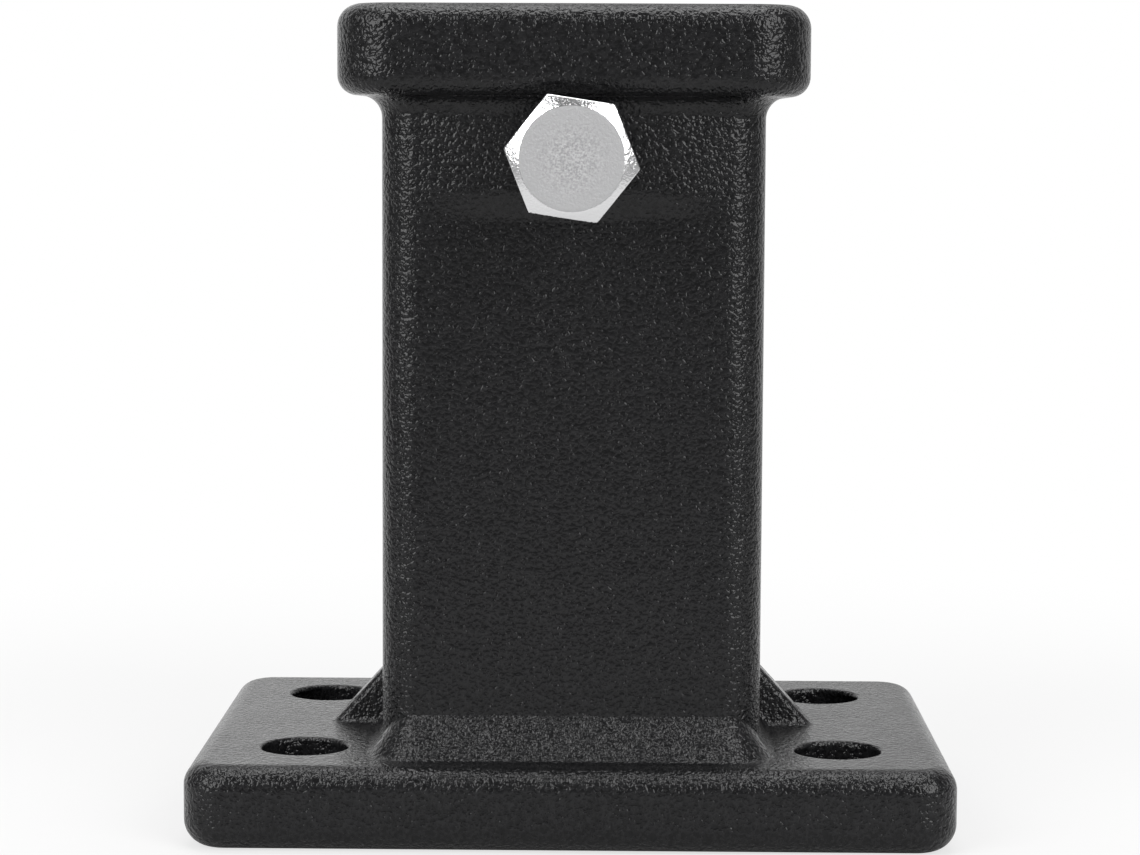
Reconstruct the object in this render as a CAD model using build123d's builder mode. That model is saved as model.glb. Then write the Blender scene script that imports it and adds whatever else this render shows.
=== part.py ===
from build123d import *
from math import atan2, cos, degrees, hypot, radians, sin, tan
import os

# Cast hitch receiver adapter: a four-bolt plate, an upright square receiver tube and its clamp bolt.
# Millimetres. The origin is the centre of the plate's underside, +Z runs up the tube to its mouth,
# and the clamp bolt comes in through the front wall, which faces -Y.

# Mounting plate
plate_width = 127.8
plate_depth = 86.4
plate_thickness = 14.1
plate_corner_radius = 7.0
plate_top_round = 3.9
plate_bottom_round = 4.5

# Bolt holes in the plate
hole_spacing_x = 90.0
hole_spacing_y = 48.8
hole_diameter = 14.4
hole_rim_round = 0.7

# Receiver tube
overall_height = 138.5
tube_outside = 63.5
tube_corner_radius = 6.5
flare_height = 6.9
flare_reach = 5.0
flare_side_reach = 2.0
flare_corner_radius = 8.0
flare_crease_radius = 1.3

# Square socket for the shank of a ball mount
shank_size = 50.8
shank_clearance = 0.35
socket_corner_radius = 1.0
socket_mouth_chamfer = 1.5

# Collar round the mouth
collar_width = 77.6
collar_height = 14.9
collar_corner_radius = 10.0
collar_top_round = 3.8
collar_bottom_round = 3.3
collar_under_fillet = 3.6

# Gussets at the left and right of the tube's foot
gusset_reach = 10.3
gusset_height = 11.4
gusset_edge_thickness = 5.6
gusset_edge_round = 1.2
gusset_draft = 9.0
gusset_foot_fillet = 1.2
gusset_root = 3.0

# Boss across the front wall, under the collar
boss_height = 2.0
boss_reach_down = 20.6
boss_step_length = 5.4
boss_blend_radius = 3.2
boss_blend_turn = 75.0
boss_blend_overlap = 0.9
boss_root = 2.0
boss_feather = 0.03
boss_sections = 5

# Holes for a hitch pin, through the left and right walls
pin_diameter = 15.9
pin_clearance = 0.3
pin_from_mouth = 62.0
pin_hole_rim_round = 0.7

# Clamp bolt
bolt_diameter = 12.0
bolt_length = 16.0
bolt_below_collar = 10.0
bolt_tip_setback = 0.2
bolt_tip_chamfer = 1.1
bolt_head_across_flats = 19.0
bolt_head_thickness = 7.5
bolt_head_turn = -8.5
bolt_face_diameter = 16.8
bolt_chamfer_angle = 30.0
bolt_washer_face_diameter = 17.0
bolt_washer_face_height = 0.5
thread_clearance = 0.05

# Least flat left between two rounded edges of the casting
least_land = 0.1

# Places that follow from the sizes above
tube_half = tube_outside / 2
plate_margin = (plate_depth - tube_outside) / 2
flare = min(flare_reach, plate_margin - plate_top_round - flare_crease_radius)
flare_slope = degrees(atan2(flare, flare_height))
gusset_length = hypot(gusset_reach, gusset_height)
gusset_depth = gusset_reach * gusset_height / gusset_length + gusset_root
gusset_half = gusset_edge_thickness / 2 + gusset_depth * tan(radians(gusset_draft))
gusset_axis = Plane(
    origin=(tube_half + gusset_reach / 2, 0, plate_thickness + gusset_height / 2),
    x_dir=(0, 1, 0),
    z_dir=(-gusset_reach, 0, gusset_height),
)
collar_overhang = (collar_width - tube_outside) / 2
lip_round = min(collar_bottom_round, collar_overhang / 2)
under_fillet = min(collar_under_fillet, collar_overhang - lip_round - least_land)
socket_size = shank_size + 2 * shank_clearance
socket_half = socket_size / 2
collar_bottom = overall_height - collar_height
pin_height = overall_height - pin_from_mouth
pin_hole_radius = pin_diameter / 2 + pin_clearance
bolt_height = collar_bottom - bolt_below_collar
bolt_seat = socket_half + bolt_tip_setback + bolt_length
bolt_axis = Plane(origin=(0, 0, bolt_height), x_dir=(1, 0, 0), z_dir=(0, -1, 0))
boss_half_width = tube_half - tube_corner_radius
boss_blend = min(boss_blend_radius, collar_overhang - boss_height - least_land)
boss_bottom = collar_bottom - boss_reach_down
boss_blend_bottom = collar_bottom - boss_blend
boss_top = collar_bottom + boss_blend_overlap


def lies_on_square(edge, height, half_width):
    """True for an edge that lies at this height on the outline of a square of this half width."""
    box = edge.bounding_box()
    level = abs(box.min.Z - height) < 0.01 and abs(box.max.Z - height) < 0.01
    reach = max(abs(box.min.X), abs(box.max.X), abs(box.min.Y), abs(box.max.Y))
    return level and abs(reach - half_width) < 0.01


def is_gusset_foot(edge):
    """True for an edge where a gusset meets the plate, the tube or the flare between them."""
    box = edge.bounding_box()
    beside_tube = min(abs(box.min.X), abs(box.max.X)) > tube_half - 0.01
    on_gusset = max(abs(box.min.Y), abs(box.max.Y)) < gusset_half
    run = edge.tangent_at(0.5)
    along_back = (abs(run.X) * gusset_reach + abs(run.Z) * gusset_height) / gusset_length
    return beside_tube and on_gusset and along_back < 0.999


def is_plate_hole_rim(edge):
    """True for an upper edge of a bolt hole in the plate."""
    middle = edge.center(CenterOf.BOUNDING_BOX)
    on_plate = abs(middle.Z - plate_thickness) < flare_height / 2
    across = abs(abs(middle.X) - hole_spacing_x / 2)
    along = abs(abs(middle.Y) - hole_spacing_y / 2)
    return on_plate and max(across, along) < hole_diameter / 2 + 0.01


def is_pin_hole_rim(edge):
    """True for an edge of the hitch pin hole on the outside of a side wall."""
    middle = edge.center(CenterOf.BOUNDING_BOX)
    on_wall = abs(abs(middle.X) - tube_half) < 0.01
    return on_wall and abs(middle.Z - pin_height) < 0.01 and edge.geom_type == GeomType.CIRCLE


def smooth_step(share):
    """Rises from 0 to 1 with a level start and end."""
    return share * share * (3 - 2 * share)


def boss_section(height, lift, rise):
    """Section of the boss at this height: an arc that stands this far out of a line lifted off the wall."""
    front = -tube_half - lift
    back = -tube_half + boss_root
    with BuildSketch(Plane.XY.offset(height), mode=Mode.PRIVATE) as section:
        with BuildLine():
            ThreePointArc((-boss_half_width, front), (0, front - rise), (boss_half_width, front))
            Polyline(
                (boss_half_width, front),
                (boss_half_width, back),
                (-boss_half_width, back),
                (-boss_half_width, front),
            )
        make_face()
    return section.sketch


os.makedirs("parts", exist_ok=True)

with BuildPart() as receiver_casting:
    with BuildSketch(Plane.XY):
        RectangleRounded(plate_width, plate_depth, plate_corner_radius)
    extrude(amount=plate_thickness)
    fillet(receiver_casting.edges().group_by(Axis.Z)[-1], plate_top_round)
    fillet(receiver_casting.edges().group_by(Axis.Z)[0], plate_bottom_round)

    # Tube, which flares out where it stands on the plate, most of all at the front and the back
    with BuildSketch(Plane.XY.offset(plate_thickness)):
        RectangleRounded(tube_outside, tube_outside, tube_corner_radius)
    extrude(amount=overall_height - plate_thickness)
    with BuildSketch(Plane.XY.offset(plate_thickness)):
        RectangleRounded(
            tube_outside + 2 * flare_side_reach,
            tube_outside + 2 * flare,
            flare_corner_radius,
        )
    extrude(amount=flare_height, taper=flare_slope)
    foot = receiver_casting.edges().filter_by(lambda e: lies_on_square(e, plate_thickness, tube_half + flare))
    fillet(foot, flare_crease_radius)

    # Gussets, thinner towards their rounded backs and filleted all round
    with BuildSketch(gusset_axis):
        with BuildLine():
            Polyline(
                (-gusset_edge_thickness / 2, 0),
                (gusset_edge_thickness / 2, 0),
                (gusset_half, gusset_depth),
                (-gusset_half, gusset_depth),
                close=True,
            )
        back = make_face()
        fillet(back.vertices().group_by(Axis.Z)[-1], gusset_edge_round)
    right_gusset = extrude(amount=gusset_length / 2 + gusset_root, both=True)
    mirror(right_gusset, about=Plane.YZ)
    fillet(receiver_casting.edges().filter_by(is_gusset_foot), gusset_foot_fillet)

    # Collar, which runs into the tube with a fillet
    with BuildSketch(Plane.XY.offset(collar_bottom)):
        RectangleRounded(collar_width, collar_width, collar_corner_radius)
    extrude(amount=collar_height)
    under = receiver_casting.edges().filter_by(lambda e: lies_on_square(e, collar_bottom, tube_half))
    fillet(under, under_fillet)
    lip = receiver_casting.edges().filter_by(lambda e: lies_on_square(e, collar_bottom, collar_width / 2))
    fillet(lip, lip_round)
    fillet(receiver_casting.edges().group_by(Axis.Z)[-1], collar_top_round)

    # Boss: a flat arc that rises from the wall in a soft step, runs level past the bolt and turns
    # out into the underside of the collar
    step_sections = []
    blend_sections = []
    for index in range(boss_sections):
        share = index / (boss_sections - 1)
        step_height = boss_bottom + share * boss_step_length
        step_rise = boss_feather + (boss_height - boss_feather) * smooth_step(share)
        step_sections.append(boss_section(step_height, 0, step_rise))
        turn = radians(share * boss_blend_turn)
        blend_height = boss_blend_bottom + boss_blend * sin(turn)
        blend_lift = boss_blend * (1 - cos(turn))
        blend_sections.append(boss_section(blend_height, blend_lift, boss_height))
    loft(step_sections)
    loft([step_sections[-1], blend_sections[0]])
    loft(blend_sections)
    loft([blend_sections[-1], boss_section(boss_top, blend_lift, boss_height)])

    # Square socket right through, with a chamfered mouth
    with BuildSketch(Plane.XY):
        RectangleRounded(socket_size, socket_size, socket_corner_radius)
    extrude(amount=overall_height, mode=Mode.SUBTRACT)
    mouth = receiver_casting.edges().filter_by(lambda e: lies_on_square(e, overall_height, socket_half))
    chamfer(mouth, socket_mouth_chamfer)

    # Four bolt holes in the plate
    with BuildSketch(Plane.XY):
        with GridLocations(hole_spacing_x, hole_spacing_y, 2, 2):
            Circle(hole_diameter / 2)
    extrude(amount=plate_thickness + flare_height, mode=Mode.SUBTRACT)
    fillet(receiver_casting.edges().filter_by(is_plate_hole_rim), hole_rim_round)

    # Hitch pin hole through both side walls
    with BuildSketch(Plane.YZ):
        with Locations((0, pin_height)):
            Circle(pin_hole_radius)
    extrude(amount=tube_outside, both=True, mode=Mode.SUBTRACT)
    fillet(receiver_casting.edges().filter_by(is_pin_hole_rim), pin_hole_rim_round)

    # Threaded hole for the clamp bolt, through the front wall and the boss
    with BuildSketch(bolt_axis):
        Circle(bolt_diameter / 2 + thread_clearance)
    extrude(amount=tube_outside, mode=Mode.SUBTRACT)

receiver_casting.part.label = "receiver_casting"
export_step(receiver_casting.part, "parts/receiver_casting.step")

with BuildPart(bolt_axis.offset(bolt_seat + bolt_washer_face_height)) as clamp_bolt:
    # Hexagon head, cut back round its outer face by a cone
    head_height = bolt_head_thickness - bolt_washer_face_height
    with BuildSketch(bolt_axis.offset(bolt_seat + bolt_washer_face_height)):
        RegularPolygon(bolt_head_across_flats / 2, 6, major_radius=False, rotation=bolt_head_turn)
    extrude(amount=head_height)
    Cone(
        bolt_face_diameter / 2 + head_height / tan(radians(bolt_chamfer_angle)),
        bolt_face_diameter / 2,
        head_height,
        align=(Align.CENTER, Align.CENTER, Align.MIN),
        mode=Mode.INTERSECT,
    )

    # Washer face under the head
    with BuildSketch(bolt_axis.offset(bolt_seat)):
        Circle(bolt_washer_face_diameter / 2)
    extrude(amount=bolt_washer_face_height)

    # Threaded shank with a chamfered tip
    with BuildSketch(bolt_axis.offset(bolt_seat - bolt_length)):
        Circle(bolt_diameter / 2)
    extrude(amount=bolt_length)
    chamfer(clamp_bolt.edges().group_by(Axis.Y)[-1], bolt_tip_chamfer)

clamp_bolt.part.label = "clamp_bolt"
export_step(clamp_bolt.part, "parts/clamp_bolt.step")
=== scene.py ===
from math import cos, pi, radians, sin, tan

import bpy
import numpy as np
from mathutils import Matrix, Vector


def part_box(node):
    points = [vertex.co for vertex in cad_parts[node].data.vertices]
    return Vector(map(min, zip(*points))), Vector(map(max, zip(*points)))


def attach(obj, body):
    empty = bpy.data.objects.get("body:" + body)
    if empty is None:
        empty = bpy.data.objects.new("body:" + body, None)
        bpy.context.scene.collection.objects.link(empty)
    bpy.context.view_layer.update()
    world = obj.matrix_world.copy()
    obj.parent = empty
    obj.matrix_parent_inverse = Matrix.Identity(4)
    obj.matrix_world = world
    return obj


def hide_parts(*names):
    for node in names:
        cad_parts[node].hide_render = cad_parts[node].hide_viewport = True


# Cast hitch receiver adapter with its clamp bolt, on a white studio table.
# The frame is in metres. Sizes below are in millimetres and are turned to metres where they are used.

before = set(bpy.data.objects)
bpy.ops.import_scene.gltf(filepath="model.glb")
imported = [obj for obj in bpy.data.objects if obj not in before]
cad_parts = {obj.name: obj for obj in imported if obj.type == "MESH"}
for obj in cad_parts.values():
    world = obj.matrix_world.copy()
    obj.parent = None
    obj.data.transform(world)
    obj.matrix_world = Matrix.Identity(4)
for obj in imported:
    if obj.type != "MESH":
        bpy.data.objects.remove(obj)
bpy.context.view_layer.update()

MM = 0.001

# Clamp bolt, M12 with a coarse thread
HEAD_ACROSS_FLATS = 19.0
HEAD_HEIGHT = 7.5
HEAD_TURN = radians(-8.5)
HEAD_FACE_RADIUS = 8.4
HEAD_CHAMFER = radians(30)
HEAD_DISH = 0.05
HEAD_CORNER_POWER = 110
WASHER_FACE_RADIUS = 8.5
WASHER_FACE_HEIGHT = 0.5
EDGE_ROUND = 0.12
THREAD_RADIUS = 5.97
THREAD_PITCH = 1.75
THREAD_FLANK = radians(60)
THREAD_DEPTH_SHARE = 5 / 8
THREAD_ROOT_SHARE = 1 / 4
THREAD_NECK = 2.2
TIP_CHAMFER = 1.1

# Rows and columns of the bolt's surface
STEPS_PER_FLAT = 32
STEPS_PER_PITCH = 18
TIP_SHARES = (0, 0.5, 0.97)
SIDE_SHARES = (0.3, 0.6, 1)
CHAMFER_SHARES = (0.1, 0.4, 0.7, 0.95)
FACE_SHARES = (0.985, 0.9, 0.75, 0.6, 0.45, 0.3, 0.15, 0)
HALF_FLAT = radians(30)
FLAT_ANGLES = HEAD_TURN + HALF_FLAT + 2 * HALF_FLAT * np.arange(6)

# Photograph's frame and the camera that fits it
IMAGE_WIDTH = 1140
FOCAL_PIXELS = 3038.4
SENSOR_WIDTH = 36.0
CAMERA_PLACE = (6.384, -530.16, 118.98)
CAMERA_PITCH = radians(5.694)
CAMERA_YAW = radians(-0.770)
CAMERA_ROLL = radians(0.276)
CAMERA_CLIP = 50.0

# Studio table, whose paper shows plain white from PAPER_FAR outwards and is partly lit up to PAPER_NEAR
FLOOR_RADIUS = 330.0
FLOOR_STEPS = 128
FLOOR_DROP = 0.05
PAPER_NEAR = 80.0
PAPER_FAR = 300.0
PAPER_NEAR_LEVEL = 0.72

# Softboxes
LAMP_TARGET = (0.0, 0.0, 70.0)
LEFT_SOFTBOX_AZIMUTH = radians(-44)
RIGHT_SOFTBOX_AZIMUTH = radians(40)
SIDE_SOFTBOX = {
    "distance": 1100.0, "elevation": radians(27), "width": 600.0, "height": 950.0, "radiance": 5.8,
}
TOP_SOFTBOX_AZIMUTH = radians(180)
TOP_SOFTBOX = {
    "distance": 1100.0, "elevation": radians(86), "width": 900.0, "height": 800.0, "radiance": 5.0,
}

# Room light, by the direction's Z for the room's floor and by its Y for the pale cove, which is dimmer to
# the right (the direction's X)
ROOM_LEVEL = 0.28
ROOM_FLOOR_LEVEL = 0.55
ROOM_FLOOR_START = 0.05
ROOM_FLOOR_FULL = -0.2
COVE_LEFT_LEVEL = 0.97
COVE_RIGHT_LEVEL = 0.76
COVE_LEFT = -0.12
COVE_RIGHT = 0.12
COVE_START = 0.35
COVE_FULL = 0.6


def linear(hex_colour):
    """An sRGB hex colour as linear red, green, blue and an alpha of 1."""
    channels = np.array([int(hex_colour[i:i + 2], 16) for i in (1, 3, 5)]) / 255
    low = channels / 12.92
    high = ((channels + 0.055) / 1.055) ** 2.4
    return (*np.where(channels <= 0.04045, low, high).tolist(), 1.0)


def add(tree, kind, sockets=None, **settings):
    """Adds one shader node. Settings are its properties, and a socket takes a value or another output."""
    node = tree.nodes.new("ShaderNode" + kind)
    for name, value in settings.items():
        setattr(node, name, value)
    for name, value in (sockets or {}).items():
        if isinstance(value, bpy.types.NodeSocket):
            tree.links.new(value, node.inputs[name])
        else:
            node.inputs[name].default_value = value
    return node


def empty_material(name):
    """A new material with an empty node tree."""
    material = bpy.data.materials.new(name)
    material.use_nodes = True
    material.node_tree.nodes.clear()
    return material, material.node_tree


# Clamp bolt

def hexagon(angles):
    """Radius of the head at each angle: the six flats' own distances, joined by a high power norm, which
    rounds the corners a little and never reaches past the sharp hexagon."""
    share = np.maximum(np.cos(angles[:, None] - FLAT_ANGLES), 0)
    return HEAD_ACROSS_FLATS / 2 / (share ** HEAD_CORNER_POWER).sum(1) ** (1 / HEAD_CORNER_POWER)


def thread(angles, heights, tip):
    """Radius of the shank at each height and angle: a triangle wave with flanks at 60 degrees that climbs
    one pitch a turn, cut flat at crest and root, faded out at the neck and cut back by the tip's cone."""
    sharp = THREAD_PITCH * tan(THREAD_FLANK) / 2
    depth = sharp * THREAD_DEPTH_SHARE
    turn = (heights[:, None] / THREAD_PITCH - angles / (2 * pi)) % 1
    wave = sharp * np.abs(2 * turn - 1) - sharp * THREAD_ROOT_SHARE
    root = THREAD_RADIUS - depth
    fade = np.clip((-heights[:, None] - THREAD_PITCH / 2) / THREAD_NECK, 0, 1)
    radius = root + fade * np.clip(wave, 0, depth)
    cone = THREAD_RADIUS - TIP_CHAMFER + heights[:, None] - tip
    return np.minimum(radius, cone)


def bolt_surface(length):
    """Points of the whole bolt, one row for each step of its outline from the tip's middle to the head's
    middle and one column for each angle. Each row gives a radius and a height, where height 0 is the
    seat under the head and the head lies above it. Angles gather at the hexagon's corners as a sine does,
    and an edge is eased by a row set back by a part of EDGE_ROUND."""
    step = np.linspace(-1, 1, STEPS_PER_FLAT, endpoint=False)
    within_flat = HALF_FLAT * np.sin(step * pi / 2)
    angles = (FLAT_ANGLES[:, None] + within_flat).ravel()
    side = hexagon(angles)
    slope = tan(HEAD_CHAMFER)
    shoulder = HEAD_HEIGHT - (side - HEAD_FACE_RADIUS) * slope
    same = np.ones_like(angles)

    heights = np.arange(-length, 0, THREAD_PITCH / STEPS_PER_PITCH)
    shank = thread(angles, heights, -length)
    rows = [(same * share * (THREAD_RADIUS - TIP_CHAMFER), -length * same) for share in TIP_SHARES]
    rows += [(radius, height * same) for radius, height in zip(shank, heights)]

    neck = shank[-1]
    rows += [
        (neck, 0 * same),
        (same * (WASHER_FACE_RADIUS - EDGE_ROUND), 0 * same),
        (same * WASHER_FACE_RADIUS, EDGE_ROUND * same),
        (same * WASHER_FACE_RADIUS, (WASHER_FACE_HEIGHT - EDGE_ROUND) * same),
        (same * (WASHER_FACE_RADIUS + EDGE_ROUND), WASHER_FACE_HEIGHT * same),
        (side - 2 * EDGE_ROUND, WASHER_FACE_HEIGHT * same),
        (side - EDGE_ROUND / 3, (WASHER_FACE_HEIGHT + EDGE_ROUND / 3) * same),
        (side, (WASHER_FACE_HEIGHT + 2 * EDGE_ROUND) * same),
    ]
    for share in SIDE_SHARES:
        rows.append((side, WASHER_FACE_HEIGHT + share * (shoulder - EDGE_ROUND - WASHER_FACE_HEIGHT)))
    rows.append((side - EDGE_ROUND / 3, shoulder + EDGE_ROUND / 8))
    for share in CHAMFER_SHARES:
        radius = side + share * (HEAD_FACE_RADIUS - side)
        rows.append((radius, HEAD_HEIGHT - (radius - HEAD_FACE_RADIUS) * slope))
    rows.append((same * HEAD_FACE_RADIUS, (HEAD_HEIGHT - EDGE_ROUND / 6) * same))
    for share in FACE_SHARES:
        dish = HEAD_DISH * (1 - share ** 2) + EDGE_ROUND / 12
        rows.append((same * share * HEAD_FACE_RADIUS, (HEAD_HEIGHT - dish) * same))

    radius = np.array([row[0] for row in rows])
    height = np.array([row[1] for row in rows])
    return np.stack([radius * np.cos(angles), radius * np.sin(angles), height], axis=2)


def closed_mesh(name, points):
    """A mesh from rows of points round an axis. The first and the last row are single points, so those
    rows are joined to their neighbours by triangles, and all the others by squares."""
    count, around = points.shape[:2]
    middle = points[1:-1].reshape(-1, 3)
    corners = np.vstack([points[0, 0], middle, points[-1, 0]])
    column = np.arange(around)
    after = (column + 1) % around
    below = 1 + around * np.arange(count - 3)[:, None]
    above = below + around
    squares = np.stack([below + column, below + after, above + after, above + column], axis=2)
    last = len(corners) - 1
    top = last - around
    start_fan = np.stack([0 * column, 1 + after, 1 + column], axis=1)
    end_fan = np.stack([0 * column + last, top + column, top + after], axis=1)
    faces = start_fan.tolist() + squares.reshape(-1, 4).tolist() + end_fan.tolist()
    mesh = bpy.data.meshes.new(name)
    mesh.from_pydata(corners.tolist(), [], faces)
    mesh.polygons.foreach_set("use_smooth", np.ones(len(faces), dtype=bool))
    mesh.validate()
    mesh.update()
    return mesh


def clamp_bolt():
    """The bolt, set along -Y on the axis of its solid, with its head's face where the solid's is."""
    low, high = (np.array(corner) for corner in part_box("clamp_bolt"))
    length = (high[1] - low[1]) / MM - HEAD_HEIGHT
    seat = low[1] + HEAD_HEIGHT * MM
    local = bolt_surface(length) * MM
    middle = (low + high) / 2
    points = np.stack([
        middle[0] + local[..., 0], seat - local[..., 2], middle[2] + local[..., 1],
    ], axis=2)
    bolt = bpy.data.objects.new("clamp_bolt_threaded", closed_mesh("clamp_bolt_threaded", points))
    bpy.context.scene.collection.objects.link(bolt)
    bolt.data.materials.append(zinc_plated_steel(middle))
    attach(bolt, "bolt")
    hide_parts("clamp_bolt")


# Materials

def wrinkle_powder_coat():
    """Black wrinkle-finish powder coat on sand-cast iron. Baked gloss black: the flats look nearly black,
    and worm-like ridges about 0.65 mm apart glint wherever the surface turns to the light. The hollows are
    darkened with painted shade and the crests are painted a little paler, and the gloss varies with the
    casting's slow waves. The ridges stand higher on rounded edges, where the normal leaves the three main
    directions, and the flat rim of the mouth is rubbed matt."""
    ridge_spacing = 0.651
    ridge_height = 0.23
    edge_ridge_height = 0.3
    flat_normal = 0.98
    edge_normal = 0.85
    hollow = 0.35
    crest = 0.65
    cast_wave = 9.0
    cast_wave_height = 0.05
    wave_low = 0.3
    wave_high = 0.7
    glossiest = 0.11
    dullest = 0.16
    rub_start = 0.2
    rub_full = 0.05
    rubbed_roughness = 0.75
    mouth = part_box("receiver_casting")[1][2]
    material, tree = empty_material("wrinkle_powder_coat")
    place = add(tree, "TexCoord").outputs["Object"]
    ridges = add(tree, "TexNoise", {
        "Vector": place, "Scale": 1 / (ridge_spacing * MM), "Detail": 1.0, "Roughness": 0.5,
        "Distortion": 0.3,
    }).outputs["Fac"]
    waves = add(tree, "TexNoise", {
        "Vector": place, "Scale": 1 / (cast_wave * MM), "Detail": 1.0,
    }).outputs["Fac"]
    facing = add(tree, "VectorMath", {0: add(tree, "NewGeometry").outputs["Normal"]}, operation="ABSOLUTE")
    parts = add(tree, "SeparateXYZ", {"Vector": facing.outputs["Vector"]})
    level = add(tree, "Math", {0: parts.outputs["X"], 1: parts.outputs["Y"]}, operation="MAXIMUM")
    square = add(tree, "Math", {0: level.outputs[0], 1: parts.outputs["Z"]}, operation="MAXIMUM")
    height = add(tree, "MapRange", {
        "Value": square.outputs[0], "From Min": flat_normal, "From Max": edge_normal,
        "To Min": ridge_height * MM, "To Max": edge_ridge_height * MM,
    })
    swell = add(tree, "Bump", {"Height": waves, "Distance": cast_wave_height * MM, "Strength": 1.0})
    bump = add(tree, "Bump", {
        "Height": ridges, "Distance": height.outputs["Result"], "Strength": 1.0,
        "Normal": swell.outputs["Normal"],
    })
    # Painted shade: the ridges' hollows are painted darker and their crests paler, so the relief shows in the
    # colour as well as in the bump.
    painted_relief_shade = add(tree, "MapRange", {"Value": ridges, "From Min": hollow, "From Max": crest})
    colour = add(tree, "MixRGB", {0: painted_relief_shade.outputs["Result"], 1: linear("#0C0C0D"), 2: linear("#19191A")})
    gloss = add(tree, "MapRange", {
        "Value": waves, "From Min": wave_low, "From Max": wave_high, "To Min": glossiest, "To Max": dullest,
    })
    along = add(tree, "SeparateXYZ", {"Vector": place})
    rubbed = add(tree, "MapRange", {
        "Value": along.outputs["Z"], "From Min": mouth - rub_start * MM, "From Max": mouth - rub_full * MM,
        "To Min": gloss.outputs["Result"], "To Max": rubbed_roughness,
    })
    shader = add(tree, "BsdfPrincipled", {
        "Base Color": colour.outputs[0], "Roughness": rubbed.outputs["Result"], "IOR": 1.34,
        "Normal": bump.outputs["Normal"],
    })
    add(tree, "OutputMaterial", {"Surface": shader.outputs["BSDF"]})
    return material


def zinc_plated_steel(middle):
    """Bright zinc plate on a cold-forged steel bolt, a pale grey metal: the face inside the chamfer is
    matt, mottled round its middle and plain towards its rim, and the chamfer and the flats are glossy and
    grainy."""
    grain_size = 0.4
    grain_height = 0.075
    mottle_size = 0.32
    mottle_low = 0.35
    mottle_high = 0.65
    mottle_radius = 7.0
    face_rim = 0.1
    face_roughness = 0.55
    chamfer_roughness = 0.13
    material, tree = empty_material("zinc_plated_steel")
    place = add(tree, "TexCoord").outputs["Object"]
    from_axis = add(tree, "VectorMath", {0: place, 1: tuple(middle)}, operation="SUBTRACT")
    across = add(tree, "VectorMath", {0: from_axis.outputs["Vector"], 1: (1, 0, 1)}, operation="MULTIPLY")
    radius = add(tree, "VectorMath", {0: across.outputs["Vector"]}, operation="LENGTH").outputs["Value"]
    grain = add(tree, "TexNoise", {"Vector": place, "Scale": 1 / (grain_size * MM), "Detail": 2.0})
    mottle = add(tree, "TexNoise", {"Vector": place, "Scale": 1 / (mottle_size * MM), "Detail": 3.0})
    turned = add(tree, "MapRange", {
        "Value": radius, "From Min": (HEAD_FACE_RADIUS - face_rim) * MM, "From Max": HEAD_FACE_RADIUS * MM,
    }).outputs["Result"]
    roughness = add(tree, "MapRange", {
        "Value": turned, "To Min": face_roughness, "To Max": chamfer_roughness,
    })
    mottled = add(tree, "MapRange", {
        "Value": mottle.outputs["Fac"], "From Min": mottle_low, "From Max": mottle_high,
    })
    to_rim = add(tree, "MapRange", {
        "Value": radius, "From Min": mottle_radius / 3 * MM, "From Max": mottle_radius * MM,
    })
    patchy = add(tree, "MixRGB", {0: mottled.outputs["Result"], 1: linear("#9A9A9B"), 2: linear("#BEBEBF")})
    matt = add(tree, "MixRGB", {0: to_rim.outputs["Result"], 1: patchy.outputs[0], 2: linear("#AEAEAF")})
    colour = add(tree, "MixRGB", {0: turned, 1: matt.outputs[0], 2: linear("#DADADB")})
    bump = add(tree, "Bump", {
        "Height": grain.outputs["Fac"], "Distance": grain_height * MM, "Strength": 1.0,
    })
    shader = add(tree, "BsdfPrincipled", {
        "Base Color": colour.outputs[0], "Metallic": 1.0, "Roughness": roughness.outputs["Result"],
        "Normal": bump.outputs["Normal"],
    })
    add(tree, "OutputMaterial", {"Surface": shader.outputs["BSDF"]})
    return material


def white_paper():
    """Matt white paper of the studio table. Far from the part, the camera and reflections see it as plain
    white. Near the part the camera sees some of the lit paper, which keeps the part's shadow, and
    reflections see the lit paper alone."""
    material, tree = empty_material("white_paper")
    away = add(tree, "VectorMath", {0: add(tree, "TexCoord").outputs["Object"]}, operation="LENGTH")
    far = add(tree, "MapRange", {
        "Value": away.outputs["Value"], "From Min": PAPER_NEAR * MM, "From Max": PAPER_FAR * MM,
    }, interpolation_type="SMOOTHSTEP").outputs["Result"]
    own_light = add(tree, "MapRange", {"Value": far, "To Min": PAPER_NEAR_LEVEL, "To Max": 1.0})
    rays = add(tree, "LightPath")
    mirrored = add(tree, "Math", {
        0: rays.outputs["Is Glossy Ray"], 1: rays.outputs["Is Transmission Ray"],
    }, operation="MAXIMUM")
    viewed = add(tree, "Math", {
        0: rays.outputs["Is Camera Ray"], 1: own_light.outputs["Result"],
    }, operation="MULTIPLY")
    share = add(tree, "Math", {
        0: mirrored.outputs[0], 1: far, 2: viewed.outputs[0],
    }, operation="MULTIPLY_ADD")
    lit = add(tree, "BsdfDiffuse", {"Color": linear("#BEBEBE")})
    plain = add(tree, "Emission", {"Color": linear("#FFFFFF"), "Strength": 1.0})
    mixed = add(tree, "MixShader", {0: share.outputs[0], 1: lit.outputs[0], 2: plain.outputs[0]})
    add(tree, "OutputMaterial", {"Surface": mixed.outputs[0]})
    return material


# Studio

def floor():
    """A round sheet of paper just clear of the plate's underside."""
    turn = np.linspace(0, 2 * pi, FLOOR_STEPS, endpoint=False)
    rim = np.stack([
        FLOOR_RADIUS * np.cos(turn), FLOOR_RADIUS * np.sin(turn), 0 * turn - FLOOR_DROP,
    ], axis=1) * MM
    mesh = bpy.data.meshes.new("studio_table")
    mesh.from_pydata(rim.tolist(), [], [list(range(FLOOR_STEPS))])
    table = bpy.data.objects.new("studio_table", mesh)
    table.data.materials.append(white_paper())
    bpy.context.scene.collection.objects.link(table)


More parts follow.
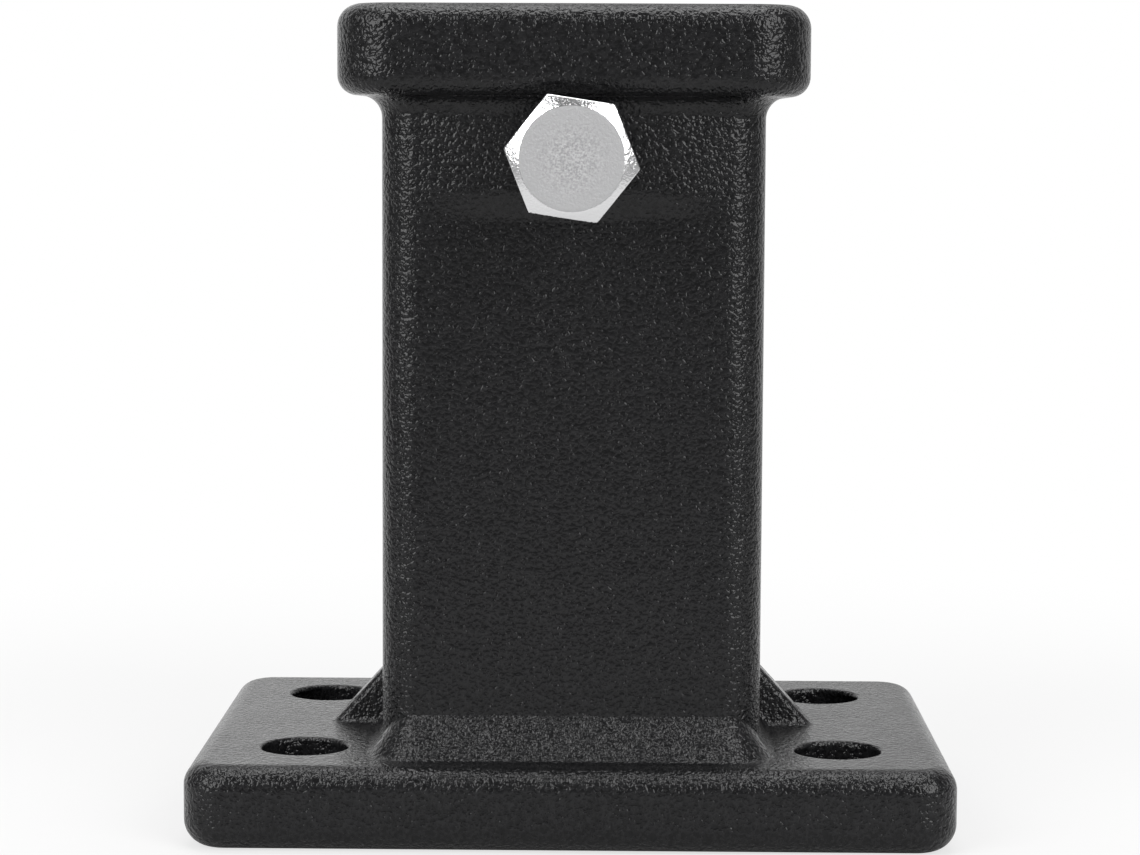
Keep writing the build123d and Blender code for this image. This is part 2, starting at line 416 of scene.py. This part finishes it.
def studio_world():
    """A pale cove behind the part, which reflections show too, and a dim room with a paler floor on the
    camera's side. The camera sees plain white all round."""
    world = bpy.data.worlds.new("studio")
    bpy.context.scene.world = world
    world.use_nodes = True
    tree = world.node_tree
    tree.nodes.clear()
    direction = add(tree, "SeparateXYZ", {"Vector": add(tree, "TexCoord").outputs["Generated"]})
    room = add(tree, "MapRange", {
        "Value": direction.outputs["Z"], "From Min": ROOM_FLOOR_START, "From Max": ROOM_FLOOR_FULL,
        "To Min": ROOM_LEVEL, "To Max": ROOM_FLOOR_LEVEL,
    }, interpolation_type="SMOOTHSTEP")
    bright = add(tree, "MapRange", {
        "Value": direction.outputs["X"], "From Min": COVE_LEFT, "From Max": COVE_RIGHT,
        "To Min": COVE_LEFT_LEVEL, "To Max": COVE_RIGHT_LEVEL,
    })
    cove = add(tree, "MapRange", {
        "Value": direction.outputs["Y"], "From Min": COVE_START, "From Max": COVE_FULL,
        "To Min": room.outputs["Result"], "To Max": bright.outputs["Result"],
    }, interpolation_type="SMOOTHSTEP")
    seen = add(tree, "Math", {
        0: cove.outputs["Result"], 1: add(tree, "LightPath").outputs["Is Camera Ray"],
    }, operation="MAXIMUM")
    light = add(tree, "Background", {"Color": linear("#FFFFFF"), "Strength": seen.outputs[0]})
    add(tree, "OutputWorld", {"Surface": light.outputs[0]})


def softbox(name, azimuth, distance, elevation, width, height, radiance):
    """A softbox aimed at the middle of the tube. Azimuth is counted from the camera's side towards +X."""
    away = Vector((
        sin(azimuth) * cos(elevation), -cos(azimuth) * cos(elevation), sin(elevation),
    ))
    data = bpy.data.lights.new(name, "AREA")
    data.shape = "RECTANGLE"
    data.size = width * MM
    data.size_y = height * MM
    data.energy = radiance * pi * data.size * data.size_y
    lamp = bpy.data.objects.new(name, data)
    lamp.location = (Vector(LAMP_TARGET) + away * distance) * MM
    lamp.rotation_euler = away.to_track_quat("Z", "Y").to_euler()
    bpy.context.scene.collection.objects.link(lamp)


def camera():
    """The photograph's camera: its place, its turn from the fitted angles, its lens from the focal length."""
    ahead = Vector((
        sin(CAMERA_YAW) * cos(CAMERA_PITCH), cos(CAMERA_YAW) * cos(CAMERA_PITCH), -sin(CAMERA_PITCH),
    ))
    level = Vector((cos(CAMERA_YAW), -sin(CAMERA_YAW), 0))
    above = level.cross(ahead)
    right = cos(CAMERA_ROLL) * level + sin(CAMERA_ROLL) * above
    up = cos(CAMERA_ROLL) * above - sin(CAMERA_ROLL) * level
    data = bpy.data.cameras.new("camera")
    data.sensor_width = SENSOR_WIDTH
    data.lens = FOCAL_PIXELS * SENSOR_WIDTH / IMAGE_WIDTH
    data.clip_start = CAMERA_CLIP * MM
    view = bpy.data.objects.new("camera", data)
    turn = Matrix((right, up, -ahead)).transposed()
    view.matrix_world = Matrix.Translation(Vector(CAMERA_PLACE) * MM) @ turn.to_4x4()
    bpy.context.scene.collection.objects.link(view)
    bpy.context.scene.camera = view


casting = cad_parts["receiver_casting"]
casting.material_slots[0].material = wrinkle_powder_coat()
clamp_bolt()
floor()
studio_world()
softbox("softbox_left", LEFT_SOFTBOX_AZIMUTH, **SIDE_SOFTBOX)
softbox("softbox_right", RIGHT_SOFTBOX_AZIMUTH, **SIDE_SOFTBOX)
softbox("softbox_top", TOP_SOFTBOX_AZIMUTH, **TOP_SOFTBOX)
camera()
bpy.context.scene.view_settings.view_transform = "Standard"
